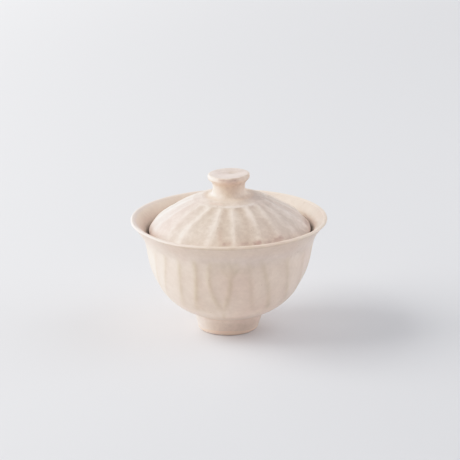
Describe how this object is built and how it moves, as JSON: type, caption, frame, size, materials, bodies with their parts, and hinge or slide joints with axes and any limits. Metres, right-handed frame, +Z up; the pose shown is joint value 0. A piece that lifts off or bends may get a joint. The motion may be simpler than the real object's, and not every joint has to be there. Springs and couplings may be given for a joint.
{
  "type": "lidded bowl",
  "caption": "Small flared stoneware bowl on a turned foot ring, with a fluted wall and a drop-in fluted domed lid that lifts off by a button knob.",
  "frame": {"origin": "on the table, under the middle of the foot ring", "axes": "+Z up along the bowl's axis; +X to the right in the pictured view, which looks along +Y"},
  "size_m": [0.115, 0.115, 0.0942],
  "materials": {
    "bowl_glaze": "matte warm off-white glaze",
    "lid_glaze": "matte warm off-white glaze",
    "foot_glaze": "thin matte glaze with a bare clay standing edge"
  },
  "bodies": {
    "bowl": {"bowl_body": "bowl_glaze", "foot_ring": "foot_glaze"},
    "lid": {"lid_dome": "lid_glaze", "lid_knob": "lid_glaze"}
  },
  "joints": [
    {"name": "lid_lift", "type": "slide", "parent": "bowl", "child": "lid", "axis": [0, 0, 1], "range_m": [0, 0.08]}
  ]
}
